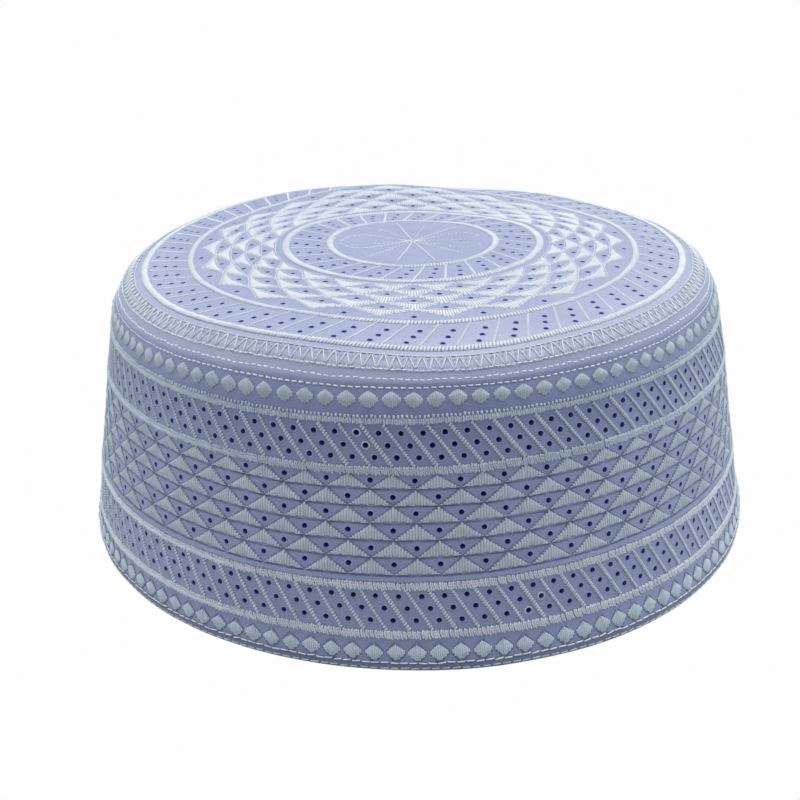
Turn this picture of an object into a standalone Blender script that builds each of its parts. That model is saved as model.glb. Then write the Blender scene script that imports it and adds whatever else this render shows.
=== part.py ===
"""Embroidered prayer cap: a round, slightly domed crown, a flared side band and a bound hem.

Lengths are in metres. Z is up, the hem rests on z = 0, and the cap's axis is the Z axis.
The front faces -Y.
"""

import math
from collections import namedtuple

import bmesh
import bpy
from mathutils import Matrix

Section = namedtuple("Section", "height radius")
Rib = namedtuple("Rib", "bottom top relief")
Ring = namedtuple("Ring", "inner outer relief")

# Driving dimensions
CAP_HEIGHT = 0.0745  # hem to the middle of the crown
CLOTH_THICKNESS = 0.0021  # outer cloth, stiffening and inner cloth, stitched together
SEAM_GAP = 0.0003  # between one piece and the next
TURN_SIDES = 60  # facets round the cap

# Hem binding: a folded strip that closes the lower edge of the side band
HEM_HEIGHT = 0.0024
HEM_RADIUS = 0.0938
HEM_WIDTH = 0.0028
HEM_ROUNDING = 0.0006

# Side band: its outer face, from the hem up to the crown seam
BAND_TOP = 0.0684
BAND_SECTIONS = (
    Section(HEM_HEIGHT + SEAM_GAP, 0.0933),
    Section(0.0094, 0.0922),
    Section(0.0282, 0.0892),
    Section(0.0470, 0.0861),
    Section(0.0564, 0.0843),
    Section(0.0611, 0.0831),
    Section(0.0659, 0.0813),
    Section(0.0676, 0.0804),
    Section(BAND_TOP, 0.0796),
)

# Embroidered borders that stand proud of the side band, from the hem up
BAND_RIBS = (
    Rib(0.0078, 0.0096, 0.0004),
    Rib(0.0199, 0.0216, 0.0004),
    Rib(0.0468, 0.0485, 0.0004),
    Rib(0.0582, 0.0600, 0.0004),
)

# Crown: domed towards its edge, then rounded down to a lip over the side band
CROWN_RIM_RADIUS = 0.0740  # outside of the outermost corded ring
CROWN_SAG = 0.0028  # fall from the middle to that ring
CROWN_DOME_POWER = 3.6
DOME_RADII = (0.0, 0.012, 0.024, 0.036, 0.048, 0.060, 0.068, CROWN_RIM_RADIUS)
SHOULDER_SECTIONS = (
    Section(0.0711, 0.0763),
    Section(0.0702, 0.0781),
    Section(0.0693, 0.0793),
    Section(BAND_TOP + SEAM_GAP, 0.0797),
)

# Corded rings of the crown, from the middle out
CROWN_RINGS = (
    Ring(0.0224, 0.0236, 0.0004),
    Ring(0.0341, 0.0362, 0.0004),
    Ring(0.0602, 0.0620, 0.0004),
    Ring(0.0723, 0.0740, 0.0005),
)

# Pierced eyelets of the crown's star field: five rounds, each half a pitch off the last
EYELETS_ROUND = 22
EYELET_RADIUS = 0.00064
EYELET_SIDES = 6
EYELET_ROW_RADII = (0.0579, 0.0529, 0.0487, 0.0447, 0.0408)
EYELET_START = math.radians(14.0)  # from the front, towards +X
EYELET_CUT_DEPTH = 0.012

MERGE_DISTANCE = 0.00001
CLOTH_ROUGHNESS = 0.85
CROWN_COLOUR = (0.43, 0.48, 0.70)
BAND_COLOUR = (0.36, 0.41, 0.63)
HEM_COLOUR = (0.33, 0.38, 0.60)


def clear_scene():
    for old in list(bpy.data.objects):
        bpy.data.objects.remove(old, do_unlink=True)


def new_collection(name):
    made = bpy.data.collections.new(name)
    bpy.context.scene.collection.children.link(made)
    return made


def cloth_material(name, colour):
    material = bpy.data.materials.new(name)
    material.use_nodes = True
    shader = material.node_tree.nodes["Principled BSDF"]
    shader.inputs["Base Color"].default_value = (*colour, 1.0)
    shader.inputs["Roughness"].default_value = CLOTH_ROUGHNESS
    shader.inputs["Metallic"].default_value = 0.0
    return material


def band_radius(height):
    """Outer radius of the side band at a height, before its raised borders."""
    for low, high in zip(BAND_SECTIONS, BAND_SECTIONS[1:]):
        if height <= high.height:
            share = (height - low.height) / (high.height - low.height)
            return low.radius + share * (high.radius - low.radius)
    return BAND_SECTIONS[-1].radius


def crown_height(radius):
    """Top of the crown at a radius, out to its outermost ring."""
    return CAP_HEIGHT - CROWN_SAG * (radius / CROWN_RIM_RADIUS) ** CROWN_DOME_POWER


def inset(line, distance):
    """A (radius, height) line moved inwards, square to itself at each of its points."""
    moved = []
    for index, (radius, height) in enumerate(line):
        before = line[max(index - 1, 0)]
        after = line[min(index + 1, len(line) - 1)]
        run = after[0] - before[0]
        fall = after[1] - before[1]
        length = math.hypot(run, fall)
        moved.append((radius + distance * fall / length, height - distance * run / length))
    return moved


def turned(name, profile, material, collection, closed):
    """Revolves a (radius, height) profile round Z. It runs down the outer side and back up inside."""
    mesh = bpy.data.meshes.new(name)
    corners = [(radius, 0.0, height) for radius, height in profile]
    edges = [(index, index + 1) for index in range(len(corners) - 1)]
    if closed:
        edges.append((len(corners) - 1, 0))
    mesh.from_pydata(corners, edges, [])
    piece = bpy.data.objects.new(name, mesh)
    collection.objects.link(piece)
    screw = piece.modifiers.new("Turn", "SCREW")
    screw.axis = "Z"
    screw.angle = math.tau
    screw.steps = TURN_SIDES
    screw.render_steps = TURN_SIDES
    screw.use_merge_vertices = True
    screw.merge_threshold = MERGE_DISTANCE
    screw.use_smooth_shade = True
    mesh.materials.append(material)
    return piece


def build_hem(collection):
    """A rounded strip with a flat underside, which the cap rests on."""
    outer = HEM_RADIUS
    inner = HEM_RADIUS - HEM_WIDTH
    soft = HEM_ROUNDING
    profile = (
        (inner + soft, HEM_HEIGHT),
        (outer - soft, HEM_HEIGHT),
        (outer, HEM_HEIGHT - soft),
        (outer, soft),
        (outer - soft, 0.0),
        (inner + soft, 0.0),
        (inner, soft),
        (inner, HEM_HEIGHT - soft),
    )
    material = cloth_material("hem_cloth", HEM_COLOUR)
    return turned("hem_binding", profile, material, collection, closed=True)


def build_side_band(collection):
    """The flared wall with its four raised borders."""
    wall = [(section.radius, section.height) for section in reversed(BAND_SECTIONS)]
    outer = list(wall)
    for rib in BAND_RIBS:
        slope = rib.relief / 2
        raised_bottom = rib.bottom + slope
        raised_top = rib.top - slope
        outer.append((band_radius(rib.bottom), rib.bottom))
        outer.append((band_radius(raised_bottom) + rib.relief, raised_bottom))
        outer.append((band_radius(raised_top) + rib.relief, raised_top))
        outer.append((band_radius(rib.top), rib.top))
    outer.sort(key=lambda point: -point[1])
    inner = inset(wall, CLOTH_THICKNESS)
    inner[0] = (wall[0][0] - CLOTH_THICKNESS, wall[0][1])
    inner[-1] = (inner[-1][0], wall[-1][1])
    material = cloth_material("band_cloth", BAND_COLOUR)
    return turned("side_band", outer + inner[::-1], material, collection, closed=True)


def eyelet_cutter(collection):
    """One upright prism for each eyelet of the star field."""
    shape = bmesh.new()
    pitch = math.tau / EYELETS_ROUND
    middle = CAP_HEIGHT - CROWN_SAG
    for row, radius in enumerate(EYELET_ROW_RADII):
        start = EYELET_START + pitch / 2 * (row % 2)
        for index in range(EYELETS_ROUND):
            angle = start + pitch * index
            place = Matrix.Translation((radius * math.sin(angle), -radius * math.cos(angle), middle))
            bmesh.ops.create_cone(
                shape,
                cap_ends=True,
                segments=EYELET_SIDES,
                radius1=EYELET_RADIUS,
                radius2=EYELET_RADIUS,
                depth=EYELET_CUT_DEPTH,
                matrix=place,
            )
    mesh = bpy.data.meshes.new("eyelet_cutter")
    shape.to_mesh(mesh)
    shape.free()
    cutter = bpy.data.objects.new("eyelet_cutter", mesh)
    collection.objects.link(cutter)
    cutter.hide_render = True
    cutter.display_type = "WIRE"
    return cutter


def build_crown(collection, cutters):
    """The domed top with its corded rings and pierced star field, turned down at the edge."""
    outer = [(0.0, CAP_HEIGHT)]
    for ring in CROWN_RINGS:
        slope = ring.relief / 2
        raised_inner = ring.inner + slope
        raised_outer = ring.outer - slope
        outer.append((ring.inner, crown_height(ring.inner)))
        outer.append((raised_inner, crown_height(raised_inner) + ring.relief))
        outer.append((raised_outer, crown_height(raised_outer) + ring.relief))
        outer.append((ring.outer, crown_height(ring.outer)))
    outer += [(section.radius, section.height) for section in SHOULDER_SECTIONS]
    inner = inset([(radius, crown_height(radius)) for radius in DOME_RADII], CLOTH_THICKNESS)
    inner[0] = (0.0, CAP_HEIGHT - CLOTH_THICKNESS)
    lip = SHOULDER_SECTIONS[-1]
    inner.append((lip.radius - CLOTH_THICKNESS, lip.height))
    material = cloth_material("crown_cloth", CROWN_COLOUR)
    crown = turned("crown", outer + inner[::-1], material, collection, closed=False)
    pierce = crown.modifiers.new("Eyelets", "BOOLEAN")
    pierce.operation = "DIFFERENCE"
    pierce.solver = "EXACT"
    pierce.object = eyelet_cutter(cutters)
    return crown


def build_cap():
    clear_scene()
    parts = new_collection("prayer_cap")
    cutters = new_collection("prayer_cap_cutters")
    cutters.hide_render = True
    root = bpy.data.objects.new("prayer_cap_root", None)
    parts.objects.link(root)
    for piece in (build_hem(parts), build_side_band(parts), build_crown(parts, cutters)):
        piece.parent = root


build_cap()
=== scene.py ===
import math
from collections import namedtuple

import bmesh
import bpy
import numpy as np
from mathutils import Matrix, Vector


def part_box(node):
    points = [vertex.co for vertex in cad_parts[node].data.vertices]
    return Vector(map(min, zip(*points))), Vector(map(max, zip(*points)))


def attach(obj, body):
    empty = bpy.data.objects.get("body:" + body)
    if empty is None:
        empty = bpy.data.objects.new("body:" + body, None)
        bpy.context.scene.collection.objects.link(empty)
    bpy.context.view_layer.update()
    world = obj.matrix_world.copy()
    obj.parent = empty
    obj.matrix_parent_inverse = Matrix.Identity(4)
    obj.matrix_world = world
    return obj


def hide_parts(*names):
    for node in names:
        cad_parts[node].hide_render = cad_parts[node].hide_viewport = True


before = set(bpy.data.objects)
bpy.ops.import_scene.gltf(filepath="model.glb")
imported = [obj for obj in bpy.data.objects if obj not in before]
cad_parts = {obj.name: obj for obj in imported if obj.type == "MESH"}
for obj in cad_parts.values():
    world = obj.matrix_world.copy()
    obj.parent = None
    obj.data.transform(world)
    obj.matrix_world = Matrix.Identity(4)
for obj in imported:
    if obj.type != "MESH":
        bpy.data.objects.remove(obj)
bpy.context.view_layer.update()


# The line that the cap's cloth follows, from the hem's lower edge up the flared band, over the rounded
# shoulder and in to the middle of the slightly domed crown. The real cap is blocked to this shape over a
# form. Cloth and stitches are laid on it, and it is taken away at the end.
Turn = namedtuple("Turn", "height radius")
HEM_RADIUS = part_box("hem_binding")[1].x
CROWN_TOP = 0.0745
CROWN_RIM = 0.0740
CROWN_SAG = 0.0028
DOME_POWER = 3.6
BAND_TURNS = (
    Turn(0.0000, HEM_RADIUS),
    Turn(0.0028, 0.0934),
    Turn(0.0094, 0.0922),
    Turn(0.0188, 0.09085),
    Turn(0.0282, 0.0892),
    Turn(0.0376, 0.0876),
    Turn(0.0470, 0.0860),
    Turn(0.0564, 0.0841),
    Turn(0.0611, 0.0830),
    Turn(0.0658, 0.0814),
    Turn(0.0677, 0.0804),
    Turn(0.0690, 0.0793),
    Turn(0.0702, 0.0779),
    Turn(0.0711, 0.0761),
)
DOME_RADII = (CROWN_RIM, 0.068, 0.060, 0.048, 0.036, 0.024, 0.012, 0.0)
LINE_STEP = 0.0002


def dome_height(radius):
    return CROWN_TOP - CROWN_SAG * (radius / CROWN_RIM) ** DOME_POWER


def new_object(name, data):
    made = bpy.data.objects.new(name, data)
    bpy.context.scene.collection.objects.link(made)
    return made


def make_cap_line():
    curve = bpy.data.curves.new("cap_line", "CURVE")
    curve.dimensions = "3D"
    curve.resolution_u = 8
    turns = BAND_TURNS + tuple(Turn(dome_height(radius), radius) for radius in DOME_RADII)
    spline = curve.splines.new("BEZIER")
    spline.bezier_points.add(len(turns) - 1)
    for point, turn in zip(spline.bezier_points, turns):
        point.co = (turn.radius, 0.0, turn.height)
        point.handle_left_type = "AUTO"
        point.handle_right_type = "AUTO"
    return new_object("cap_line", curve)


cap_line = make_cap_line()
drawn = cap_line.to_mesh()
line_points = np.array([vertex.co for vertex in drawn.vertices])
cap_line.to_mesh_clear()
line_radius = line_points[:, 0]
line_height = line_points[:, 2]
line_run = np.concatenate([[0.0], np.cumsum(np.hypot(np.diff(line_radius), np.diff(line_height)))])


def up_to(height):
    """Distance along the cloth from the hem's lower edge up to a height on the band."""
    return float(np.interp(height, line_height, line_run))


def in_to(radius):
    """Distance along the cloth from the hem's lower edge up and in to a radius of the crown."""
    return float(np.interp(-radius, -line_radius, line_run))


def radius_at(run):
    return float(np.interp(run, line_run, line_radius))


def height_at(run):
    return float(np.interp(run, line_run, line_height))


def on_the_line(run, out):
    """The (radius, height) of a point of the cloth, lifted square off it by a distance."""
    across = radius_at(run + LINE_STEP) - radius_at(run - LINE_STEP)
    upward = height_at(run + LINE_STEP) - height_at(run - LINE_STEP)
    length = math.hypot(across, upward)
    radius = radius_at(run) + out * upward / length
    height = height_at(run) - out * across / length
    return max(float(radius), 0.0), float(height)


# The way each motif is sewn: a flat piece of stitching, drawn at its real size with X round the cap, Y up
# the cloth and Z out of it, is repeated round the cap and bent onto the cap's line. Machine embroidery
# like this is digitised flat in the same way, before the cloth is blocked.
def add_node(tree, kind, values=None, **settings):
    """Adds a node. A value may be a socket to link, or another node, which then gives its first output."""
    node = tree.nodes.new(kind)
    for name, value in settings.items():
        setattr(node, name, value)
    for name, value in (values or {}).items():
        if isinstance(value, bpy.types.Node):
            value = value.outputs[0]
        if isinstance(value, bpy.types.NodeSocket):
            tree.links.new(value, node.inputs[name])
        else:
            node.inputs[name].default_value = value
    return node


GEOMETRY = ("Geometry", "Geometry")
VECTOR = ("Vector", "Vector")


def new_tree(name, kind, inputs, outputs):
    tree = bpy.data.node_groups.new(name, f"{kind}NodeTree")
    for title, socket_kind, *value in inputs:
        socket = tree.interface.new_socket(title, in_out="INPUT", socket_type=f"NodeSocket{socket_kind}")
        if value:
            socket.default_value = value[0]
    for title, socket_kind in outputs:
        tree.interface.new_socket(title, in_out="OUTPUT", socket_type=f"NodeSocket{socket_kind}")
    return tree, tree.nodes.new("NodeGroupInput").outputs


def number_of(tree, operation, *terms):
    return add_node(tree, "ShaderNodeMath", dict(enumerate(terms)), operation=operation)


def sum_of(tree, first, second):
    return number_of(tree, "ADD", first, second)


def product_of(tree, first, second):
    return number_of(tree, "MULTIPLY", first, second)


def vector_of(tree, operation, first, second):
    return add_node(tree, "ShaderNodeVectorMath", {0: first, 1: second}, operation=operation)


def scaled(tree, vector, factor):
    return add_node(tree, "ShaderNodeVectorMath", {0: vector, "Scale": factor}, operation="SCALE")


def parts_of(tree, vector):
    return add_node(tree, "ShaderNodeSeparateXYZ", {0: vector}).outputs


Sag = namedtuple("Sag", "place spread shift")
SAGS = (
    Sag((-0.0334, -0.0655, 0.0720), (0.028, 0.028, 0.0060), (0.0, 0.0, 0.0015)),
    Sag((0.0077, -0.0731, 0.0710), (0.016, 0.016, 0.0035), (0.0, 0.0, -0.0012)),
    Sag((-0.0509, 0.0509, 0.0725), (0.035, 0.035, 0.0120), (0.0, 0.0, 0.0025)),
    Sag((0.0020, 0.0360, 0.0740), (0.040, 0.012, 0.0300), (0.0, 0.0, -0.0018)),
    Sag((-0.0060, 0.0570, 0.0740), (0.018, 0.011, 0.0300), (0.0, 0.0, 0.0027)),
    Sag((0.0120, 0.0750, 0.0715), (0.030, 0.009, 0.0300), (0.0, 0.0, -0.0014)),
    Sag((0.0900, 0.0100, 0.0500), (0.050, 0.050, 0.0400), (-0.0009, 0.0, 0.0)),
    Sag((-0.0250, -0.0790, 0.0645), (0.055, 0.055, 0.0090), (-0.0002, -0.0008, 0.0)),
    Sag((0.0470, -0.0814, 0.0000), (0.045, 0.045, 0.0050), (0.0007, -0.0012, 0.0)),
    Sag((-0.0900, -0.0100, 0.0100), (0.050, 0.050, 0.0200), (-0.0005, 0.0, 0.0)),
    Sag((0.0900, -0.0100, 0.0100), (0.050, 0.050, 0.0180), (-0.0009, 0.0, 0.0)),
)
GIVE_AMOUNT = 0.0005
GIVE_PATCHES = 70.0
SETTLED_HEIGHT = 0.004


def make_cloth_give():
    """Cloth never lies perfectly even, and its stitches move with it. Each sag shifts it most at its own
    place and less and less over its spread. Close to the floor nothing moves up or down."""
    inputs = [GEOMETRY, ("Amount", "Float", GIVE_AMOUNT), ("Patches per Metre", "Float", GIVE_PATCHES)]
    tree, given = new_tree("cloth_give", "Geometry", inputs, [GEOMETRY])
    place = add_node(tree, "GeometryNodeInputPosition")
    noise = add_node(tree, "ShaderNodeTexNoise", {"Scale": given["Patches per Metre"], "Detail": 1.0})
    centred = vector_of(tree, "SUBTRACT", noise.outputs["Color"], (0.5, 0.5, 0.5))
    moved = scaled(tree, centred, given["Amount"])
    for sag in SAGS:
        away = vector_of(tree, "DIVIDE", vector_of(tree, "SUBTRACT", place, sag.place), sag.spread)
        square = vector_of(tree, "DOT_PRODUCT", away, away).outputs["Value"]
        near = number_of(tree, "EXPONENT", product_of(tree, square, -0.5))
        moved = vector_of(tree, "ADD", moved, scaled(tree, sag.shift, near))
    height = parts_of(tree, place)["Z"]
    clear = add_node(tree, "ShaderNodeMapRange", {"Value": height, "From Max": SETTLED_HEIGHT})
    held = add_node(tree, "ShaderNodeCombineXYZ", {"X": 1.0, "Y": 1.0, "Z": clear})
    moved = vector_of(tree, "MULTIPLY", moved, held)
    placed = add_node(tree, "GeometryNodeSetPosition", {"Geometry": given["Geometry"], "Offset": moved})
    add_node(tree, "NodeGroupOutput", {"Geometry": placed})
    return tree


cloth_give = make_cloth_give()


def make_bend_onto_cap():
    """Bends flat stitching onto the turned line of the cap. X is true to size at the row's own radius."""
    inputs = [GEOMETRY, ("Cap Line", "Object"), ("Row Radius", "Float", 0.09)]
    tree, given = new_tree("bend_onto_cap", "Geometry", inputs, [GEOMETRY])
    flat = parts_of(tree, add_node(tree, "GeometryNodeInputPosition"))
    line = add_node(tree, "GeometryNodeObjectInfo", {"Object": given["Cap Line"]}).outputs["Geometry"]
    along = {"Curves": line, "Length": flat["Y"]}
    sampled = add_node(tree, "GeometryNodeSampleCurve", along, mode="LENGTH").outputs
    place = parts_of(tree, sampled["Position"])
    slope = parts_of(tree, sampled["Tangent"])
    radius = sum_of(tree, place["X"], product_of(tree, slope["Z"], flat["Z"]))
    height = number_of(tree, "SUBTRACT", place["Z"], product_of(tree, slope["X"], flat["Z"]))
    angle = number_of(tree, "DIVIDE", flat["X"], given["Row Radius"])
    to_right = product_of(tree, radius, number_of(tree, "SINE", angle))
    forward = product_of(tree, number_of(tree, "COSINE", angle), -1.0)
    to_front = product_of(tree, radius, forward)
    spot = add_node(tree, "ShaderNodeCombineXYZ", {"X": to_right, "Y": to_front, "Z": height})
    bent = add_node(tree, "GeometryNodeSetPosition", {"Geometry": given["Geometry"], "Position": spot})
    give = add_node(tree, "GeometryNodeGroup", {"Geometry": bent}, node_tree=cloth_give)
    add_node(tree, "NodeGroupOutput", {"Geometry": give})
    return tree


bend_onto_cap = make_bend_onto_cap()


def make_motif_round():
    """Adds one round of a motif to the stitching that is there already."""
    inputs = [
        GEOMETRY,
        ("Motif", "Object"),
        ("Cap Line", "Object"),
        ("Thread", "Material"),
        ("Count", "Int", 100),
        ("Seed", "Int", 1),
        ("Row Radius", "Float", 0.09),
        *[(title, "Float", 0.0) for title in ("Start", "Run", "Lift", "Stray", "Sway", "Uneven")],
    ]
    tree, given = new_tree("motif_round", "Geometry", inputs, [GEOMETRY])
    index = add_node(tree, "GeometryNodeInputIndex")
    turned = product_of(tree, number_of(tree, "DIVIDE", index, given["Count"]), math.tau)
    along = product_of(tree, sum_of(tree, turned, given["Start"]), given["Row Radius"])

    def random_value(reach, shift):
        low = product_of(tree, reach, -1.0)
        seed = sum_of(tree, given["Seed"], shift)
        return add_node(tree, "FunctionNodeRandomValue", {"Min": low, "Max": reach, "Seed": seed}).outputs[1]

    across = sum_of(tree, along, random_value(given["Stray"], 0))
    upward = sum_of(tree, given["Run"], random_value(given["Stray"], 100))
    place = add_node(tree, "ShaderNodeCombineXYZ", {"X": across, "Y": upward, "Z": given["Lift"]})
    points = add_node(tree, "GeometryNodePoints", {"Count": given["Count"], "Position": place})
    motif = add_node(tree, "GeometryNodeObjectInfo", {"Object": given["Motif"]}).outputs["Geometry"]
    sway = add_node(tree, "ShaderNodeCombineXYZ", {"Z": random_value(given["Sway"], 200)})
    size = sum_of(tree, 1.0, random_value(given["Uneven"], 300))
    placing = {"Points": points, "Instance": motif, "Rotation": sway, "Scale": size}
    placed = add_node(tree, "GeometryNodeInstanceOnPoints", placing)
    sewn = add_node(tree, "GeometryNodeRealizeInstances", {"Geometry": placed})
    bending = {"Geometry": sewn, "Cap Line": given["Cap Line"], "Row Radius": given["Row Radius"]}
    bent = add_node(tree, "GeometryNodeGroup", bending, node_tree=bend_onto_cap)
    coloured = add_node(tree, "GeometryNodeSetMaterial", {"Geometry": bent, "Material": given["Thread"]})
    joined = add_node(tree, "GeometryNodeJoinGeometry")
    tree.links.new(given["Geometry"], joined.inputs[0])
    tree.links.new(coloured.outputs[0], joined.inputs[0])
    add_node(tree, "NodeGroupOutput", {"Geometry": joined})
    return tree


motif_round = make_motif_round()


def add_group(piece, name, group, values):
    """Adds a Geometry Nodes modifier, whose inputs go by the identifiers of their sockets."""
    modifier = piece.modifiers.new(name, "NODES")
    modifier.node_group = group
    sockets = group.interface.items_tree
    identifiers = {socket.name: socket.identifier for socket in sockets if socket.in_out == "INPUT"}
    for title, value in values.items():
        modifier[identifiers[title]] = value


def new_piece(name, mesh=None):
    return new_object(name, mesh or bpy.data.meshes.new(name))


def sew_round(piece, motif, thread, count, start, run, lift=0.0, stray=0.0, sway=0.0, uneven=0.0):
    """A round of a motif: its start is in degrees from the front, its run is measured up from the hem."""
    values = {
        "Motif": motif,
        "Cap Line": cap_line,
        "Thread": thread,
        "Count": count,
        "Seed": len(piece.modifiers) + 1,
        "Row Radius": radius_at(run),
        "Start": math.radians(start),
        "Run": run,
        "Lift": lift,
        "Stray": stray,
        "Sway": math.radians(sway),
        "Uneven": uneven,
    }
    add_group(piece, motif.name, motif_round, values)


def make_plain(piece):
    """Turns what the modifiers make into the piece's own mesh."""
    depsgraph = bpy.context.evaluated_depsgraph_get()
    mesh = bpy.data.meshes.new_from_object(piece.evaluated_get(depsgraph))
    piece.modifiers.clear()
    piece.data = mesh
    mesh.name = piece.name
    return mesh


def finish_piece(piece):
    make_plain(piece)
    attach(piece, "root")


Stitch = namedtuple("Stitch", "start end width rise bulge", defaults=(0.0,))
STITCH_HOOPS = (0.16, 0.84)
PADDED_HOOPS = (0.12, 0.5, 0.88)
THREAD_SIDES = 4
THREAD_CENTRE = 0.3
THREAD_HALF = 0.6
SUNK_ENDS = 0.5


def add_stitch(shape, stitch):
    """One thread from start to end on the flat chart. Its centre, its half height and the depth that its
    ends are drawn down into the cloth are shares of its rise. A padded stitch bulges in the middle."""
    start = Vector((*stitch.start, 0.0))
    end = Vector((*stitch.end, 0.0))
    along = end - start
    side = Vector((-along.y, along.x, 0.0)).normalized() * stitch.width / 2
    up = Vector((0.0, 0.0, stitch.rise))
    rings = []
    for share in PADDED_HOOPS if stitch.bulge else STITCH_HOOPS:
        middle = start + along * share + up * (THREAD_CENTRE + stitch.bulge * (share == 0.5))
        ring = []
        for step in range(THREAD_SIDES):
            angle = math.tau * step / THREAD_SIDES
            spot = middle + side * math.cos(angle) + up * THREAD_HALF * math.sin(angle)
            ring.append(shape.verts.new(spot))
        rings.append(ring)
    first = shape.verts.new(start - up * SUNK_ENDS)
    last = shape.verts.new(end - up * SUNK_ENDS)
    for step in range(THREAD_SIDES):
        after = (step + 1) % THREAD_SIDES
        shape.faces.new((first, rings[0][after], rings[0][step]))
        for low, high in zip(rings, rings[1:]):
            shape.faces.new((low[step], low[after], high[after], high[step]))
        shape.faces.new((last, rings[-1][step], rings[-1][after]))


motifs = []


def new_motif(name, shape):
    """Keeps a drawn shape as a motif, which is only a pattern and never shows itself."""
    for face in shape.faces:
        face.smooth = True
    mesh = bpy.data.meshes.new(name)
    shape.to_mesh(mesh)
    shape.free()
    motif = bpy.data.objects.new(name, mesh)
    motifs.append(motif)
    return motif


def sewn_motif(name, stitches):
    shape = bmesh.new()
    for stitch in stitches:
        add_stitch(shape, stitch)
    return new_motif(name, shape)


# Cotton cloth of the band, the crown and the hem: a fine plain weave in pale lavender, unevenly dyed, with
# the dull bloom of brushed cotton. The crown's is made the palest, as painted light on the top where the
# overhead light falls, and the hem's the darkest. Two zones of painted light and shade run round the cap:
# a paler one along the crown seam, painted light on the shoulder that turns away from the light, and a
# darker blue one at the head of the band, painted shade under the shoulder.
def noise_of(tree, vector, scale, detail):
    return add_node(tree, "ShaderNodeTexNoise", {"Vector": vector, "Scale": scale, "Detail": detail})


def make_weave():
    inputs = [VECTOR, ("Threads per Metre", "Float", 2700.0), ("Patches per Metre", "Float", 60.0)]
    tree, given = new_tree("plain_weave", "Shader", inputs, [("Height", "Float"), ("Shade", "Float")])
    turns = product_of(tree, given["Threads per Metre"], math.pi)
    across = parts_of(tree, scaled(tree, given["Vector"], turns))
    crossing = product_of(tree, number_of(tree, "SINE", across["X"]), number_of(tree, "SINE", across["Y"]))
    patches = noise_of(tree, given["Vector"], given["Patches per Metre"], 4.0)
    fibres = noise_of(tree, given["Vector"], given["Threads per Metre"], 2.0)
    height = sum_of(tree, product_of(tree, crossing, 0.15), fibres)
    grain = sum_of(tree, product_of(tree, fibres, 1.8), -0.7)
    shade = sum_of(tree, product_of(tree, patches, 0.6), product_of(tree, grain, 0.8))
    add_node(tree, "NodeGroupOutput", {"Height": height, "Shade": shade})
    return tree


def make_round_the_cap():
    """Gives a place on the band as distance round it and height, so that the weave follows it round."""
    inputs = [VECTOR, ("Radius", "Float", 0.088)]
    tree, given = new_tree("round_the_cap", "Shader", inputs, [VECTOR])
    place = parts_of(tree, given["Vector"])
    angle = number_of(tree, "ARCTAN2", place["X"], product_of(tree, place["Y"], -1.0))
    around = product_of(tree, angle, given["Radius"])
    laid = add_node(tree, "ShaderNodeCombineXYZ", {"X": around, "Y": place["Z"]})
    add_node(tree, "NodeGroupOutput", {"Vector": laid})
    return tree


def make_height_zone():
    """How much painted light and shade a zone gives the cloth at a height: most at its middle, none beyond
    its reach.
    """
    inputs = [VECTOR, ("Height", "Float", 0.07), ("Reach", "Float", 0.005), ("Amount", "Float", 0.5)]
    tree, given = new_tree("height_zone", "Shader", inputs, [("Share", "Float")])
    above = number_of(tree, "SUBTRACT", parts_of(tree, given["Vector"])["Z"], given["Height"])
    away = number_of(tree, "ABSOLUTE", above)
    fading = {"Value": away, "From Max": given["Reach"], "To Min": given["Amount"], "To Max": 0.0}
    share = add_node(tree, "ShaderNodeMapRange", fading)
    add_node(tree, "NodeGroupOutput", {"Share": share})
    return tree


def new_material(name, look):
    """A material whose plain values are set on its shader's own sockets."""
    material = bpy.data.materials.new(name)
    material.use_nodes = True
    for title, value in look.items():
        material.node_tree.nodes["Principled BSDF"].inputs[title].default_value = value
    return material


def mixed_colour(tree, share, low, high):
    mix = add_node(tree, "ShaderNodeMix", {"Factor": share, "A": low, "B": high}, data_type="RGBA")
    return mix.outputs["Result"]


def dress_shader(tree, colour, height, strength, distance):
    """Links a colour and a fine relief to the material's shader."""
    inputs = tree.nodes["Principled BSDF"].inputs
    bump = add_node(tree, "ShaderNodeBump", {"Strength": strength, "Distance": distance, "Height": height})
    tree.links.new(colour, inputs["Base Color"])
    tree.links.new(bump.outputs[0], inputs["Normal"])


plain_weave = make_weave()
round_the_cap = make_round_the_cap()
height_zone = make_height_zone()
PaintedLightZone = namedtuple("PaintedLightZone", "height reach amount colour")
# Painted light by height: the paler zone along the crown seam is painted light on the shoulder, and the
# darker blue zone at the head of the band is painted shade under it.
PAINTED_LIGHT_ZONES = (
    PaintedLightZone(0.0702, 0.0042, 0.56, (0.50, 0.55, 0.66)),
    PaintedLightZone(0.0570, 0.0110, 0.54, (0.15, 0.19, 0.35)),
)
CLOTH_LOOK = {"Roughness": 0.75, "Specular IOR Level": 0.3, "Sheen Weight": 0.35, "Sheen Roughness": 0.45}
WEAVE_RELIEF = 0.00012


def cloth_material(name, light, dark, round_band):
    material = new_material(name, CLOTH_LOOK)
    tree = material.node_tree
    flat = add_node(tree, "ShaderNodeTexCoord").outputs["Object"]
    place = flat
    if round_band:
        place = add_node(tree, "ShaderNodeGroup", {"Vector": flat}, node_tree=round_the_cap)
    weave = add_node(tree, "ShaderNodeGroup", {"Vector": place}, node_tree=plain_weave).outputs
    colour = mixed_colour(tree, weave["Shade"], (*dark, 1.0), (*light, 1.0))
    # Mixes the zones of painted light and shade into the cloth's colour.
    for painted_zone in PAINTED_LIGHT_ZONES:
        taken = {"Vector": flat, "Height": painted_zone.height, "Reach": painted_zone.reach, "Amount": painted_zone.amount}
        zone = add_node(tree, "ShaderNodeGroup", taken, node_tree=height_zone)
        colour = mixed_colour(tree, zone, colour, (*painted_zone.colour, 1.0))
    dress_shader(tree, colour, weave["Height"], 0.8, WEAVE_RELIEF)
    return material


# The crown's cloth is paler than the band's, though it is the same cloth: the difference is painted light on
# the top.
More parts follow.
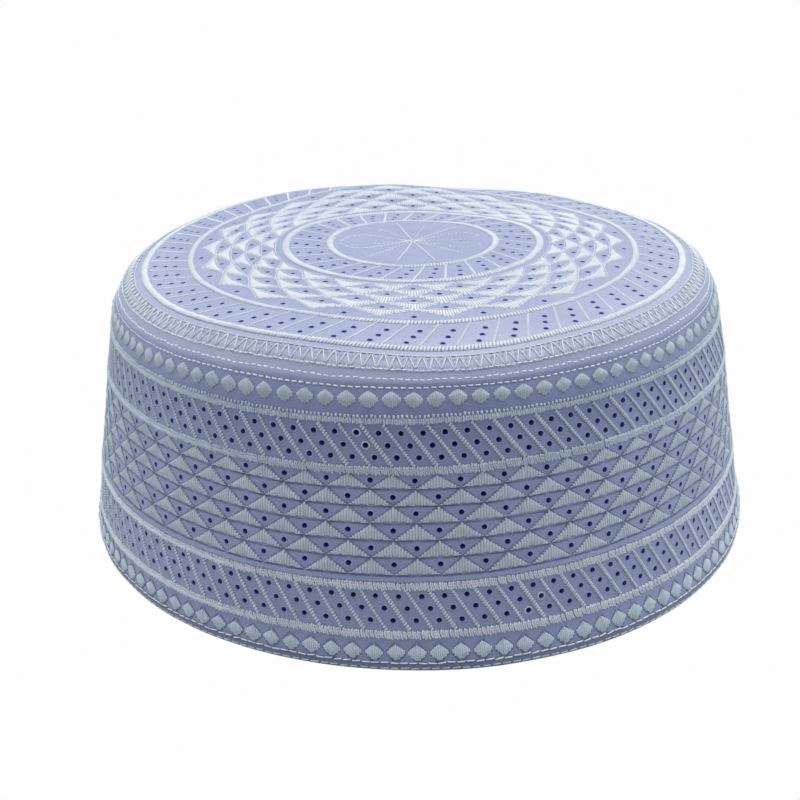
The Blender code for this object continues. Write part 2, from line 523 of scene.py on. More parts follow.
band_cloth = cloth_material("band_cloth", (0.32, 0.373, 0.562), (0.184, 0.228, 0.388), round_band=True)
crown_cloth = cloth_material("crown_cloth", (0.41, 0.47, 0.66), (0.23, 0.27, 0.45), round_band=False)
hem_cloth = cloth_material("hem_cloth", (0.22, 0.26, 0.39), (0.11, 0.14, 0.24), round_band=True)
eyelet_shadow = new_material("eyelet_shadow", {"Base Color": (0.080, 0.115, 0.370, 1.0), "Roughness": 0.9})


# Eyelets, pierced through the cloth by the embroidery machine's awl: rows of three between the bars of
# the crown and of the band, five rounds in the crown's star field and six in the band's triangles. The
# edge of each is drawn together by a fine thread in the cloth's colour, and of four by a wide white one.
EYELET_RADIUS = 0.00066
EYELET_SIDES = 12
BORE_DEPTH = 0.0026
BORE_ABOVE = 0.0012
BORE_TAPER = 0.21
RIM_SIDES = 10
RIM_THREAD = 0.00032
WIDE_RIM_THREAD = 0.00042
STAR_COUNT = 22
TRIANGLE_COUNT = 54
DISC_BARS = 26
RIM_BARS = 54
HEAD_BARS = 108
FOOT_BARS = 110
STAR_TURNS = (15.2, 7.02)
TRIANGLE_TURNS = (-1.60, 1.73)
RIM_INSIDE = 0.97
RIM_CREST = 0.45


def eyelet_rows(count, starts, measure, places):
    """The count, start and run of a row at each place. The rows take the starts in turn."""
    return [(count, starts[row % len(starts)], measure(place)) for row, place in enumerate(places)]


CROWN_EYELETS = (
    *eyelet_rows(RIM_BARS, (6.70, 5.36, 4.07), in_to, (0.0652, 0.0679, 0.0707)),
    *eyelet_rows(DISC_BARS, (11.8, 9.30, 6.80), in_to, (0.0263, 0.0294, 0.0324)),
    *eyelet_rows(STAR_COUNT, STAR_TURNS, in_to, (0.0581, 0.0531, 0.0489, 0.0449, 0.0410)),
)
BAND_EYELETS = (
    *eyelet_rows(HEAD_BARS, (-3.50, -2.20, -0.90), up_to, (0.0560, 0.0532, 0.0505)),
    *eyelet_rows(TRIANGLE_COUNT, TRIANGLE_TURNS, up_to, (0.0453, 0.0414, 0.0375, 0.0336, 0.0295, 0.0257)),
    *eyelet_rows(FOOT_BARS, (-1.10, 0.10, 1.30), up_to, (0.0182, 0.0152, 0.0122)),
)


def bore_shape():
    """The hole tapers inwards, as the awl that pierces it does."""
    shape = bmesh.new()
    bmesh.ops.create_cone(
        shape,
        cap_ends=True,
        segments=EYELET_SIDES,
        radius1=EYELET_RADIUS - BORE_DEPTH * BORE_TAPER,
        radius2=EYELET_RADIUS + BORE_ABOVE * BORE_TAPER,
        depth=BORE_DEPTH + BORE_ABOVE,
        matrix=Matrix.Translation((0.0, 0.0, (BORE_ABOVE - BORE_DEPTH) / 2)),
    )
    return shape


def rim_shape(thread):
    """A ring of thread, three-sided because its underside is buried in the cloth."""
    shape = bmesh.new()
    hoops = []
    sunk = Vector((0, 0, thread / 2))
    for step in range(RIM_SIDES):
        angle = math.tau * step / RIM_SIDES
        way = Vector((math.cos(angle), math.sin(angle), 0.0))
        inner = way * EYELET_RADIUS * RIM_INSIDE - sunk
        outer = way * (EYELET_RADIUS + thread) - sunk
        crest = way * (EYELET_RADIUS + thread * RIM_CREST) + Vector((0, 0, thread * RIM_CREST))
        hoops.append([shape.verts.new(point) for point in (inner, crest, outer)])
    for hoop, after in zip(hoops, hoops[1:] + hoops[:1]):
        for corner in range(3):
            beyond = (corner + 1) % 3
            shape.faces.new((hoop[corner], hoop[beyond], after[beyond], after[corner]))
    return shape


bore = new_motif("bore", bore_shape())
rim = new_motif("rim", rim_shape(RIM_THREAD))
wide_rim = new_motif("wide_rim", rim_shape(WIDE_RIM_THREAD))


def make_pierced_cloth():
    tree, given = new_tree("pierced_cloth", "Geometry", [GEOMETRY, ("Bores", "Object")], [GEOMETRY])
    bores = add_node(tree, "GeometryNodeObjectInfo", {"Object": given["Bores"]}).outputs["Geometry"]
    meshes = {"Mesh 1": given["Geometry"], "Mesh 2": bores}
    cut = add_node(tree, "GeometryNodeMeshBoolean", meshes, operation="DIFFERENCE", solver="MANIFOLD")
    add_node(tree, "NodeGroupOutput", {"Geometry": cut.outputs["Mesh"]})
    return tree


pierced_cloth = make_pierced_cloth()
SHARP_EDGE = math.radians(40)
Raise = namedtuple("Raise", "low high rise")


def relief(run, raises):
    """How far the cloth stands out at a place of its line: rounded ridges and grooves, added together."""
    total = 0.0
    for ridge in raises:
        share = (run - ridge.low) / (ridge.high - ridge.low) * 2 - 1
        if abs(share) < 1:
            total += ridge.rise * (1 - share * share)
    return total


def turned_cloth(name, outline, sides, closed, material):
    """Turns a (radius, height) outline round the cap's axis into one closed wall of cloth."""
    mesh = bpy.data.meshes.new(name)
    edges = [(index, index + 1) for index in range(len(outline) - 1)]
    if closed:
        edges.append((len(outline) - 1, 0))
    mesh.from_pydata([(radius, 0.0, height) for radius, height in outline], edges, [])
    mesh.materials.append(material)
    cloth = new_piece(name, mesh)
    screw = cloth.modifiers.new("turn", "SCREW")
    screw.steps = sides
    screw.render_steps = sides
    screw.use_merge_vertices = True
    screw.merge_threshold = 0.000001
    screw.use_smooth_shade = True
    add_group(cloth, "give", cloth_give, {"Amount": GIVE_AMOUNT, "Patches per Metre": GIVE_PATCHES})
    make_plain(cloth)
    return cloth


def pierce(cloth, rounds):
    bores = new_piece("bores")
    for row in rounds:
        sew_round(bores, bore, eyelet_shadow, *row)
    make_plain(bores)
    add_group(cloth, "pierce", pierced_cloth, {"Bores": bores})
    mesh = make_plain(cloth)
    mesh.shade_smooth()
    mesh.set_sharp_from_angle(angle=SHARP_EDGE)
    bpy.data.objects.remove(bores)


# Side band: a strip of stiffened cotton, cut on a curve so that it flares towards the hem, and joined at
# the back. It is ridged where it is sewn through: a welt under the triangles, a roll between the two
# running stitches below the crown, and shallow grooves along the rows of triangles.
CLOTH_THICKNESS = 0.0021
OUTER_STEP = 0.00055
INNER_STEP = 0.0030
BAND_FOOT = up_to(0.0024)
BAND_HEAD = up_to(0.0689)
BAND_SIDES = 240
TRIANGLE_LINES = (0.0468, 0.0432, 0.0392, 0.0352, 0.0312, 0.0272, 0.0231)
GROOVE = 0.0007
BAND_RAISES = (
    Raise(up_to(0.0215), up_to(0.0228), 0.0004),
    Raise(up_to(0.0657), up_to(0.0674), 0.0003),
    Raise(up_to(0.0649), up_to(0.0662), -0.00012),
    *[Raise(up_to(line) - GROOVE / 2, up_to(line) + GROOVE / 2, -0.00015) for line in TRIANGLE_LINES],
)


def cloth_rows(low, high, step):
    return np.linspace(low, high, round((high - low) / step) + 1)


def cloth_faces(low, high, raises):
    """The outer and the inner face of the cloth between two runs, of which only the outer is ridged."""
    outer = [on_the_line(run, relief(run, raises)) for run in cloth_rows(low, high, OUTER_STEP)]
    inner = [on_the_line(run, -CLOTH_THICKNESS) for run in cloth_rows(low, high, INNER_STEP)]
    return outer, inner


outer, inner = cloth_faces(BAND_FOOT, BAND_HEAD, BAND_RAISES)
inner[0] = (inner[0][0], outer[0][1])
inner[-1] = (outer[-1][0] - CLOTH_THICKNESS, outer[-1][1])
side_band = turned_cloth("side_band_cloth", outer[::-1] + inner, BAND_SIDES, True, band_cloth)
pierce(side_band, BAND_EYELETS)
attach(side_band, "root")
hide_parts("side_band")


# Crown: a disc of the same cloth, blocked to a shallow dome and turned down at its edge. Its lip lies
# over the head of the band and stands a little proud of it, as one more thickness of cloth.
CROWN_LIP = up_to(0.0690)
LIP_PROUD = 0.0001
LIP_WIDTH = 0.0030
CROWN_SIDES = 200
CROWN_RAISES = (Raise(CROWN_LIP - LIP_WIDTH, CROWN_LIP + LIP_WIDTH, LIP_PROUD),)

outer, inner = cloth_faces(CROWN_LIP, float(line_run[-1]), CROWN_RAISES)
inner[0] = (outer[0][0] - CLOTH_THICKNESS, outer[0][1])
outer[-1] = (0.0, outer[-1][1])
inner[-1] = (0.0, inner[-1][1])
crown = turned_cloth("crown_cloth_shell", outer[::-1] + inner, CROWN_SIDES, False, crown_cloth)
pierce(crown, CROWN_EYELETS)
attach(crown, "root")
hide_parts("crown")


# Threads: machine-embroidery thread in cool off-whites, made as lit and shaded copies of one thread, so
# that their shades are painted light and shade: the darkest on the band's head diamonds, head bars and
# triangles, a lighter one on its borders, foot bars and hem diamonds, a lighter one still, the cord, on its
# two lower borders and the crown's rings, and the lightest, the pearl, on the rest of the crown, where the
# overhead light falls. A greyer one is for the seam's lace. White sewing cotton holds the cap together,
# lavender thread binds the eyelets, and a dark one sinks into the quilting lines, its darkness painted
# shade of their grooves.
def make_spun_thread():
    inputs = [VECTOR, ("Fibres per Metre", "Float", 5200.0), ("Patches per Metre", "Float", 260.0)]
    tree, given = new_tree("spun_thread", "Shader", inputs, [("Height", "Float"), ("Shade", "Float")])
    fibres = noise_of(tree, given["Vector"], given["Fibres per Metre"], 2.0)
    patches = noise_of(tree, given["Vector"], given["Patches per Metre"], 2.0)
    add_node(tree, "NodeGroupOutput", {"Height": fibres, "Shade": patches})
    return tree


spun_thread = make_spun_thread()
THREAD_LOOK = {"Specular IOR Level": 0.2, "Sheen Weight": 0.05, "Sheen Roughness": 0.4}
FIBRE_RELIEF = 0.00006


def thread_material(name, light, dark, roughness):
    material = new_material(name, {"Roughness": roughness, **THREAD_LOOK})
    tree = material.node_tree
    place = add_node(tree, "ShaderNodeTexCoord").outputs["Object"]
    spun = add_node(tree, "ShaderNodeGroup", {"Vector": place}, node_tree=spun_thread).outputs
    colour = mixed_colour(tree, spun["Shade"], (*dark, 1.0), (*light, 1.0))
    dress_shader(tree, colour, spun["Height"], 0.4, FIBRE_RELIEF)
    return material


# Lit and shaded copies of one thread, from the darkest satin to the pearl: their differences are painted
# light and shade.
shaded_satin = thread_material("dull_satin_thread", (0.565, 0.66, 0.735), (0.40, 0.485, 0.555), 0.45)
satin = thread_material("satin_thread", (0.65, 0.75, 0.84), (0.46, 0.55, 0.64), 0.42)
lace_thread = thread_material("lace_thread", (0.38, 0.45, 0.54), (0.23, 0.28, 0.36), 0.5)
cord = thread_material("cord_thread", (0.79, 0.85, 0.92), (0.61, 0.68, 0.76), 0.42)
lit_pearl = thread_material("pearl_thread", (0.85, 0.905, 0.96), (0.665, 0.73, 0.795), 0.42)
white = thread_material("white_thread", (0.86, 0.90, 0.96), (0.74, 0.79, 0.88), 0.5)
lavender = thread_material("lavender_thread", (0.41, 0.47, 0.69), (0.32, 0.38, 0.59), 0.55)
# A thread along the quilting lines, coloured dark as painted shade of the grooves it lies in.
quilting_shade = thread_material("quilting_thread", (0.19, 0.23, 0.39), (0.13, 0.17, 0.30), 0.7)

WHITE_RIMS = ((-10.17, 0.0560), (-8.87, 0.0532), (16.46, 0.0152), (14.39, 0.0122))
eyelet_rims = new_piece("eyelet_rims")
for row in CROWN_EYELETS + BAND_EYELETS:
    sew_round(eyelet_rims, rim, lavender, *row, sway=180, uneven=0.06)
for start, height in WHITE_RIMS:
    sew_round(eyelet_rims, wide_rim, white, 1, start, up_to(height))
finish_piece(eyelet_rims)


# Hem binding: a folded strip of cotton, coloured darker than the band, that closes the band's lower edge,
# and that the cap stands on. It is stitched through twice, once along its upper edge and once close to
# the fold.
HEM_TOP = 0.0023
HEM_DEPTH = 0.0028
HEM_SIDES = 180
HEM_FACETS = 16
HEM_SQUARENESS = 0.6


def hem_outline():
    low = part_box("hem_binding")[0].z
    outline = []
    for step in range(HEM_FACETS):
        angle = math.tau * step / HEM_FACETS
        across = math.copysign(abs(math.sin(angle)) ** HEM_SQUARENESS, math.sin(angle)) * HEM_DEPTH / 2
        upward = math.copysign(abs(math.cos(angle)) ** HEM_SQUARENESS, math.cos(angle)) * (HEM_TOP - low) / 2
        outline.append((HEM_RADIUS - HEM_DEPTH / 2 + across, (low + HEM_TOP) / 2 + upward))
    return outline


hem = turned_cloth("hem_binding_cloth", hem_outline(), HEM_SIDES, True, hem_cloth)
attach(hem, "root")
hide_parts("hem_binding")

hem_stitch = sewn_motif("hem_stitch", [Stitch((-0.00115, -0.00006), (0.00115, 0.00006), 0.00036, 0.00034)])
hem_seams = new_piece("hem_stitches")
sew_round(hem_seams, hem_stitch, white, 268, 0.0, up_to(HEM_TOP), lift=0.0001, stray=0.0001, sway=7)
sew_round(hem_seams, hem_stitch, satin, 250, 0.4, up_to(0.0009), stray=0.0001, sway=4, uneven=0.08)
finish_piece(hem_seams)


# Corded rings of the crown: satin stitches laid square across a flat cord, side by side, so that each
# ring stands up like a fine rope. The outermost stands highest. Here and below, a fill is the width of a
# stitch as a share of its pitch.
Ring = namedtuple("Ring", "inner outer count slant rise")
CORD_FILL = 0.97
CROWN_RINGS = (
    Ring(0.0219, 0.0240, 170, 0.00040, 0.00034),
    Ring(0.0340, 0.0364, 250, 0.00110, 0.00034),
    Ring(0.0602, 0.0621, 450, 0.00040, 0.00032),
    Ring(0.0724, 0.0745, 560, 0.00055, 0.00050),
)


def cord_stitch(ring):
    half = (ring.outer - ring.inner) / 2
    width = math.tau * ring.inner / ring.count * CORD_FILL
    lean = ring.slant / 2
    return sewn_motif("cord_stitch", [Stitch((-lean, -half), (lean, half), width, ring.rise, bulge=0.25)])


crown_rings = new_piece("crown_rings")
for ring in CROWN_RINGS:
    middle = in_to((ring.inner + ring.outer) / 2)
    sew_round(crown_rings, cord_stitch(ring), cord, ring.count, 0.0, middle, uneven=0.07, sway=3)
finish_piece(crown_rings)


# Spokes in the middle of the crown: lines of stitches that run out from a small knot. Some are sewn close
# and look solid, the others are dotted, and to each side two bent lines make a wide leaf.
Spoke = namedtuple("Spoke", "turn bend reach stitch pitch")
SPOKES = (
    Spoke(-14.0, 0, 0.0175, 0.00150, 0.00135),
    Spoke(16.5, 0, 0.0190, 0.00150, 0.00135),
    Spoke(-167.5, 0, 0.0205, 0.00150, 0.00135),
    Spoke(-41.5, 0, 0.0190, 0.00115, 0.00130),
    Spoke(136.0, 0, 0.0190, 0.00115, 0.00130),
    Spoke(46.0, 0, 0.0185, 0.00070, 0.00120),
    Spoke(-143.0, 0, 0.0150, 0.00060, 0.00115),
    Spoke(166.0, 0, 0.0150, 0.00045, 0.00125),
    Spoke(-77.0, 0, 0.0180, 0.00060, 0.00125),
    Spoke(89.0, 0, 0.0190, 0.00060, 0.00125),
    Spoke(-90.0, 25, 0.0203, 0.00100, 0.00110),
    Spoke(-90.0, -25, 0.0203, 0.00100, 0.00110),
    Spoke(90.0, 29, 0.0203, 0.00080, 0.00120),
    Spoke(90.0, -29, 0.0203, 0.00050, 0.00120),
    Spoke(-85.0, 0, 0.0022, 0.00120, 0.00110),
    Spoke(100.0, 0, 0.0016, 0.00120, 0.00110),
)
SPOKE_HUB = 0.0005
SPOKE_MIDDLE = 0.0100
SPOKE_THREAD = 0.00044
SPOKE_RISE = 0.00026


def spoke_stitches(spoke):
    def place(radius):
        bend = math.radians(spoke.bend) * (1 - (2 * min(radius / spoke.reach, 1) - 1) ** 4)
        return bend * SPOKE_MIDDLE, SPOKE_MIDDLE - radius

    for step in range(round((spoke.reach - SPOKE_HUB) / spoke.pitch)):
        radius = SPOKE_HUB + spoke.pitch * step
        width = SPOKE_THREAD * SPOKE_MIDDLE / (radius + spoke.stitch / 2)
        yield Stitch(place(radius + spoke.stitch), place(radius), width, SPOKE_RISE)


spokes = new_piece("crown_spokes")
for spoke in SPOKES:
    spoke_line = sewn_motif("spoke", spoke_stitches(spoke))
    sew_round(spokes, spoke_line, lit_pearl, 1, spoke.turn, in_to(SPOKE_MIDDLE))
finish_piece(spokes)


# Bars of the crown: between the corded rings run slanting lines of fine satin stitch, with three eyelets
# in each gap. There are 26 round the middle disc and 54 at the rim.
Bar = namedtuple("Bar", "reach lean width pitch rise disc_radius", defaults=(None,))
DISC_BAR = Bar(0.0051, 0.0035, 0.0007, 0.00062, 0.00026, 0.0289)
RIM_BAR = Bar(0.0050, 0.0053, 0.0007, 0.00062, 0.00026, 0.0671)
BAR_FILL = 0.86
BAR_TILT = 0.3


def bar_stitches(bar):
    """A slanting bar of short stitches laid across it, which goes sideways by its lean. On the crown, where
    the chart is a fan round the middle, it is drawn so that it comes out straight."""

    def place(share):
        if bar.disc_radius is None:
            return Vector((bar.lean * (share - 0.5), 2 * bar.reach * (share - 0.5)))
        ends = []
        for side in (-1, 1):
            angle = side * bar.lean / 2 / bar.disc_radius
            ends.append(Vector((math.sin(angle), math.cos(angle))) * (bar.disc_radius - side * bar.reach))
        point = ends[0].lerp(ends[1], share)
        return Vector((math.atan2(point.x, point.y) * bar.disc_radius, bar.disc_radius - point.length))

    steps = round(math.hypot(2 * bar.reach, bar.lean) / bar.pitch)
    for step in range(steps):
        along = (place((step + 1) / steps) - place(step / steps)).normalized()
        across = Vector((along.y, -along.x)) * bar.width / 2
        middle = place((step + 0.5) / steps)
        tilt = along * bar.pitch * BAR_TILT
        yield Stitch(middle - across - tilt, middle + across + tilt, bar.pitch * BAR_FILL, bar.rise)


crown_bars = new_piece("crown_bars")
for bar, count, start in ((DISC_BAR, DISC_BARS, 9.3), (RIM_BAR, RIM_BARS, 5.36)):
    bar_line = sewn_motif("crown_bar", bar_stitches(bar))
    sew_round(crown_bars, bar_line, lit_pearl, count, start + 180 / count, in_to(bar.disc_radius), uneven=0.01)
finish_piece(crown_bars)


# Star field of the crown: five rounds of 22 satin-stitched points, each half a pitch off the last, whose
# stitches run towards the middle. The lavender cloth left between them forms rounded hills, each with its
# eyelet, and a fine thread edges the points.
STAR_PITCH = math.tau / STAR_COUNT
STAR_STITCH = 0.00066
STAR_FILL = 1.02
STAR_RAGGED = 0.00010
SHORTEST_STITCH = 0.0004
STAR_BASES = (0.0545, 0.0504, 0.0463, 0.0422, 0.0383)
STAR_TIPS = (0.0585, 0.0547, 0.0506, 0.0465, 0.0424)
POINT_CURVE = 1.35
STAR_RISE = 0.00022
EDGE_THREAD = 0.00026
EDGE_STEPS = 5


def thread_through(places, width, rise):
    for start, end in zip(places, places[1:]):
        yield Stitch(start, end, width, rise)


def star_stitches(base, tip):
    height = tip - base
    half = STAR_PITCH * base / 2

    def outline(share):
        return -height * (1 - abs(share)) ** POINT_CURVE

    steps = round(2 * half / STAR_STITCH)
    for step in range(steps):
        share = (step + 0.5) / steps * 2 - 1
        if outline(share) > -SHORTEST_STITCH:
            continue
        x = share * half * 0.99
        ragged = STAR_RAGGED * math.sin(step * 2.4)
        low = (x, outline(share) + ragged)
        yield Stitch(low, (x, 0.0001), STAR_STITCH * STAR_FILL, STAR_RISE, bulge=0.3)
    for side in (-1, 1):
        shares = [side * (1 - step / EDGE_STEPS) for step in range(EDGE_STEPS + 1)]
        ends = [(share * half, outline(share) - 0.0002) for share in shares]
        yield from thread_through(ends, EDGE_THREAD, STAR_RISE)
    for step in range(EDGE_STEPS):
        start = half * (step / EDGE_STEPS * 2 - 1)
        yield Stitch((start, 0.0003), (start + half * 0.4, 0.0003), EDGE_THREAD, STAR_RISE)


star_field = new_piece("star_field")
for index, (base, tip) in enumerate(zip(STAR_BASES, STAR_TIPS), 1):
    star_point = sewn_motif("star_point", star_stitches(base, tip))
    sew_round(star_field, star_point, lit_pearl, STAR_COUNT, STAR_TURNS[index % 2], in_to(base), uneven=0.015)
finish_piece(star_field)


# Seam of crown and band: the lip is sewn down by a wide machine zigzag between two lines of thread. Under
# it a lace of fine, duller stitches fills the seam and locks its edge.
ZIGZAG_COUNT = 175
LACE_COUNT = ZIGZAG_COUNT * 3
ZIGZAG_LOW = in_to(0.0793)
ZIGZAG_HIGH = in_to(0.0761)
SEAM_RADIUS = 0.0778
middle = (ZIGZAG_LOW + ZIGZAG_HIGH) / 2
half = (ZIGZAG_HIGH - ZIGZAG_LOW) / 2
wide = math.tau * SEAM_RADIUS / ZIGZAG_COUNT
fine = math.tau * SEAM_RADIUS / LACE_COUNT
ZIGZAG = thread_through(((-wide / 2, -half), (0.0, half), (wide / 2, -half)), 0.00028, 0.00032)
LACE = (
    Stitch((-fine / 2, -half), (fine / 3, half * 0.8), 0.00036, 0.00018),
    Stitch((-fine / 4, half * 0.6), (fine / 2, -half), 0.00036, 0.00018),
)

zigzag = sewn_motif("zigzag", ZIGZAG)
lace = sewn_motif("lace", LACE)
seam_line = sewn_motif("seam_line", [Stitch((-0.0006, 0.0), (0.0006, 0.0), 0.00032, 0.00032)])
crown_seam = new_piece("crown_seam")
sew_round(crown_seam, zigzag, lit_pearl, ZIGZAG_COUNT, 0.0, middle, lift=0.0002, uneven=0.08, sway=4)
sew_round(crown_seam, lace, lace_thread, LACE_COUNT, 0.4, middle, stray=0.00012, sway=9)
sew_round(crown_seam, seam_line, lit_pearl, 390, 0.0, ZIGZAG_LOW - 0.0001, lift=0.0003, stray=0.00008, sway=6)
sew_round(crown_seam, seam_line, lit_pearl, 340, 0.0, ZIGZAG_HIGH, lift=0.0001, sway=3)
finish_piece(crown_seam)


# Running stitches: two lines of white sewing cotton round the head of the band, sewn after the crown was
# set in. They pull the stiffened cloth in, so that it rolls out a little between them.
RUNNING_COUNT = 312
running_stitch = sewn_motif("running_stitch", [Stitch((-0.00066, 0.0), (0.00066, 0.0), 0.00034, 0.00032)])
running_lines = new_piece("running_stitches")
sew_round(running_lines, running_stitch, white, RUNNING_COUNT, 0.0, up_to(0.0673), stray=0.00014, sway=9)
sew_round(running_lines, running_stitch, white, RUNNING_COUNT, 0.5, up_to(0.0656), stray=0.00005, sway=4)
finish_piece(running_lines)


# Diamonds: padded satin stitch, worked up and down over a core of thread, in a row under the crown seam
# and a slightly flatter one above the hem. Fine quilting lines cross between those at the hem, sewn in a
# dark thread that is painted shade of their grooves.
Diamond = namedtuple("Diamond", "width height stitches rise")
HEAD_DIAMOND = Diamond(0.0040, 0.0041, 10, 0.00070)
HEM_DIAMOND = Diamond(0.0042, 0.0043, 9, 0.00065)
HEAD_DIAMONDS = 106
HEM_DIAMONDS = 117
HEAD_ROW = up_to(0.0632)
HEM_ROW = up_to(0.0046)
DIAMOND_CURVE = 0.55
DIAMOND_RAGGED = 0.00009
DIAMOND_FILL = 1.15
CORNER_RISE = 0.35


def diamond_stitches(size):
    pitch = size.width / size.stitches
    for step in range(size.stitches):
        x = (step + 0.5) * pitch - size.width / 2
        share = 1 - abs(x) / (size.width / 2)
        half = size.height / 2 * share ** DIAMOND_CURVE
        ragged = DIAMOND_RAGGED * (-1) ** step
        rise = size.rise * (CORNER_RISE + (1 - CORNER_RISE) * share)
        yield Stitch((x, ragged - half), (x, half), pitch * DIAMOND_FILL, rise, bulge=0.4)


def cross_stitches():
    pitch = math.tau * radius_at(HEM_ROW) / HEM_DIAMONDS
    half = HEM_DIAMOND.height * 0.62
    for side in (-1, 1):
        places = ((-pitch / 2, -half * side), (0.0, 0.0), (pitch / 2, half * side))
        yield from thread_through(places, 0.00028, 0.00016)


head_diamond = sewn_motif("head_diamond", diamond_stitches(HEAD_DIAMOND))
hem_diamond = sewn_motif("hem_diamond", diamond_stitches(HEM_DIAMOND))
quilting_cross = sewn_motif("quilting_cross", cross_stitches())
padded = {"stray": 0.00012, "sway": 4, "uneven": 0.05}
diamonds = new_piece("satin_diamonds")
# The head row takes the darker satin, as painted shade, and the hem row the lighter one.
sew_round(diamonds, head_diamond, shaded_satin, HEAD_DIAMONDS, -1.4, HEAD_ROW, **padded)
sew_round(diamonds, hem_diamond, satin, HEM_DIAMONDS, 1.05, HEM_ROW, **padded)
sew_round(diamonds, quilting_cross, quilting_shade, HEM_DIAMONDS, 1.05 + 180 / HEM_DIAMONDS, HEM_ROW)
finish_piece(diamonds)


# Borders: four narrow bands of satin stitch that frame the bars. The first is a ladder with a row of teeth
# along its upper edge. The others are herringbone, two rows of short slanting stitches that meet along the
# middle, with their outer ends left ragged.
LADDER = (
    Stitch((0.0, -0.00120), (0.00006, 0.00040), 0.00046, 0.00050),
    Stitch((0.00049, -0.00105), (0.00055, 0.00040), 0.00044, 0.00046),
    Stitch((0.00024, 0.00025), (0.00030, 0.00115), 0.00052, 0.00064),
)
HERRINGBONE = (
    Stitch((0.0, -0.00020), (0.00034, 0.00108), 0.00046, 0.00056),
    Stitch((0.00050, -0.00020), (0.00080, 0.00092), 0.00042, 0.00048),
    Stitch((0.00016, 0.00030), (0.00050, -0.00094), 0.00046, 0.00058),
    Stitch((0.00066, 0.00030), (0.00104, -0.00120), 0.00042, 0.00052),
)
BORDER_COUNT = 540
ladder = sewn_motif("ladder", LADDER)
herringbone = sewn_motif("herringbone", HERRINGBONE)
# The two lower borders take the lighter cord thread, as painted light.
BORDERS = (
    (0.0590, ladder, satin),
    (0.0476, herringbone, satin),
    (0.0207, herringbone, cord),
    (0.0089, herringbone, cord),
)
borders = new_piece("satin_borders")
for height, motif, thread in BORDERS:
    row = (BORDER_COUNT, 0.0, up_to(height))
    sew_round(borders, motif, thread, *row, stray=0.00008, sway=6, uneven=0.10)
finish_piece(borders)


# Bars of the band: slanting cords of short satin stitches, like fine rope, wide and narrow in turn. They
# stand in two rows, one between each pair of borders, and each gap holds three eyelets in line with them.
HEAD_BAR_START = -0.53
FOOT_BAR_START = 1.73
BAR_WIDTHS = (0.00115, 0.00080)
band_bars = new_piece("band_bars")
for turn, width in enumerate(BAR_WIDTHS):
    head_bar = sewn_motif("head_bar", bar_stitches(Bar(0.0048, -0.0068, width, 0.00074, 0.00045)))
    foot_bar = sewn_motif("foot_bar", bar_stitches(Bar(0.0052, -0.0061, width, 0.00074, 0.00045)))
    head_row = (HEAD_BARS // 2, HEAD_BAR_START + turn * 360 / HEAD_BARS, up_to(0.0532))
    foot_row = (FOOT_BARS // 2, FOOT_BAR_START + turn * 360 / FOOT_BARS, up_to(0.0150))
    # The head bars take the darker satin, as painted shade, and the foot bars the lighter one.
    sew_round(band_bars, head_bar, shaded_satin, *head_row, uneven=0.01)
    sew_round(band_bars, foot_bar, satin, *foot_row, uneven=0.01)
finish_piece(band_bars)


# Triangles of the band: six rows of 54, point upwards, in upright satin stitches with ragged ends. The
# cloth shows between them as triangles that point down, each with its eyelet, and quilting lines run
# along the rows and up the slanting sides, in a dark thread that is painted shade of their grooves.
TRIANGLE_STITCHES = 15
TRIANGLE_FOOT = 0.00026
TRIANGLE_RAGGED = 0.00012
TRIANGLE_FILL = 1.06
TRIANGLE_RISE = 0.00030
QUILTING_THREAD = 0.00018
QUILTING_STEPS = 3


def triangle_stitches(height, half):
    pitch = 2 * half / (TRIANGLE_STITCHES + 1)
    for step in range(TRIANGLE_STITCHES):
        x = (step - (TRIANGLE_STITCHES - 1) / 2) * pitch
        top = height * (1 - abs(x) / half) + 0.00006
        foot = TRIANGLE_FOOT + TRIANGLE_RAGGED * math.sin(step * 1.9)
        yield Stitch((x, foot), (x, top), pitch * TRIANGLE_FILL, TRIANGLE_RISE, bulge=0.3)


def quilting_stitches(height, half):
    for side in (-1, 1):
        yield Stitch((0.0, -0.0001), (side * half, -0.0001), QUILTING_THREAD, 0.00010)
        shares = [1 - step / QUILTING_STEPS for step in range(QUILTING_STEPS + 1)]
        places = [(side * half * share, height * (1 - share) + 0.0003) for share in shares]
        yield from thread_through(places, QUILTING_THREAD, 0.00012)


triangles = new_piece("satin_triangles")
for index, (high, low) in enumerate(zip(TRIANGLE_LINES, TRIANGLE_LINES[1:]), 1):
    row = (TRIANGLE_COUNT, TRIANGLE_TURNS[index % 2], up_to(low))
    size = (high - low, math.pi * radius_at(up_to(low)) / TRIANGLE_COUNT)
    triangle = sewn_motif("triangle", triangle_stitches(*size))
    quilting_line = sewn_motif("quilting_line", quilting_stitches(*size))
    # The triangles take the darker satin, as painted shade.
    sew_round(triangles, triangle, shaded_satin, *row, stray=0.0001, uneven=0.015)
    sew_round(triangles, quilting_line, quilting_shade, *row)
finish_piece(triangles)


# Plain white studio: a white floor that runs out to a white surround, a large soft light overhead, two
# soft lights at the sides and little light from the front, so that the crown is bright and the band soft.
FLOOR_REACH = 3.0
COVERED_FLOOR = 0.0905
WHITE = (1.0, 1.0, 1.0, 1.0)


def seen_by_camera(tree, shown, unseen):
    """A shader that the camera sees as one and that the rest of the light meets as another."""
    to_camera = add_node(tree, "ShaderNodeLightPath").outputs["Is Camera Ray"]
    return add_node(tree, "ShaderNodeMixShader", {"Fac": to_camera, 1: unseen, 2: shown})


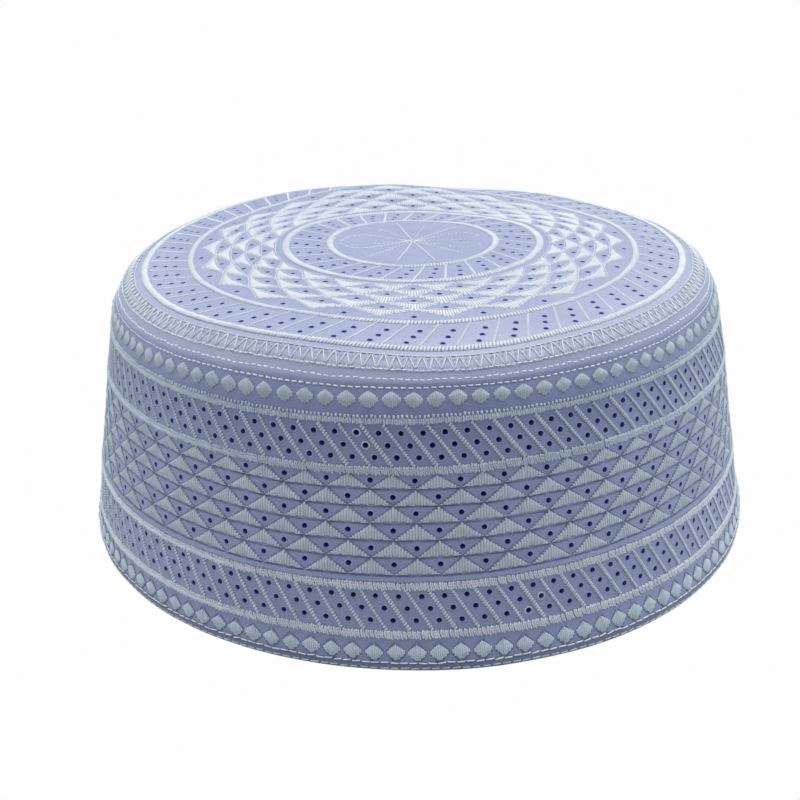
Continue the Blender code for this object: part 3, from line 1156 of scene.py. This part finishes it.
def make_floor():
    mesh = bpy.data.meshes.new("studio_floor")
    shape = bmesh.new()
    bmesh.ops.create_circle(shape, cap_ends=True, radius=FLOOR_REACH, segments=64)
    shape.to_mesh(mesh)
    shape.free()
    material = new_material("studio_white", {})
    tree = material.node_tree
    tree.nodes.clear()
    lit = add_node(tree, "ShaderNodeBsdfDiffuse", {"Color": (0.84, 0.85, 0.86, 1.0)})
    place = add_node(tree, "ShaderNodeTexCoord").outputs["Object"]
    reach = add_node(tree, "ShaderNodeVectorMath", {0: place}, operation="LENGTH").outputs["Value"]
    outside = number_of(tree, "GREATER_THAN", reach, COVERED_FLOOR)
    glow = add_node(tree, "ShaderNodeEmission", {"Color": WHITE, "Strength": 0.988})
    bare = add_node(tree, "ShaderNodeMixShader", {0: outside, 1: lit, 2: glow})
    add_node(tree, "ShaderNodeOutputMaterial", {"Surface": seen_by_camera(tree, bare, lit)}, target="ALL")
    mesh.materials.append(material)
    new_piece("studio_floor", mesh)


def make_surround():
    world = bpy.data.worlds.new("studio_surround")
    world.use_nodes = True
    tree = world.node_tree
    tree.nodes.clear()
    soft = add_node(tree, "ShaderNodeBackground", {"Color": (0.93, 0.96, 1.0, 1.0), "Strength": 0.20})
    plain = add_node(tree, "ShaderNodeBackground", {"Color": WHITE, "Strength": 0.992})
    add_node(tree, "ShaderNodeOutputWorld", {"Surface": seen_by_camera(tree, plain, soft)})
    bpy.context.scene.world = world


CAP_MIDDLE = Vector((0.0, 0.0, 0.04))


def make_light(name, place, size, power):
    light = bpy.data.lights.new(name, "AREA")
    light.shape = "DISK"
    light.size = size
    light.energy = power
    lamp = new_object(name, light)
    lamp.location = place
    lamp.rotation_euler = (CAP_MIDDLE - Vector(place)).to_track_quat("-Z", "Y").to_euler()


make_floor()
make_surround()
make_light("overhead_light", (0.0, -0.01, 0.75), 0.9, 6.1)
make_light("left_light", (-0.75, 0.08, 0.30), 0.5, 1.65)
make_light("right_light", (0.75, 0.04, 0.30), 0.5, 2.3)
bpy.context.scene.view_settings.view_transform = "Standard"

# Camera: close in front of the cap, looking down on it by about 24 degrees, as the photo does. It is
# rolled by two degrees, to give the photo's slight slant.
CAMERA_PLACE = (-0.0052, -0.3194, 0.1674)
CAMERA_DOWN = math.radians(23.75)
CAMERA_ROLL = math.radians(-1.925)
view = bpy.data.cameras.new("front_camera")
view.lens = 53.56
view.sensor_width = 36.0
view.clip_start = 0.01
camera = new_object("front_camera", view)
looking = Matrix.Rotation(math.pi / 2 - CAMERA_DOWN, 4, "X") @ Matrix.Rotation(CAMERA_ROLL, 4, "Z")
camera.matrix_world = Matrix.Translation(CAMERA_PLACE) @ looking
bpy.context.scene.camera = camera

for motif in motifs:
    bpy.data.objects.remove(motif)
bpy.data.objects.remove(cap_line)
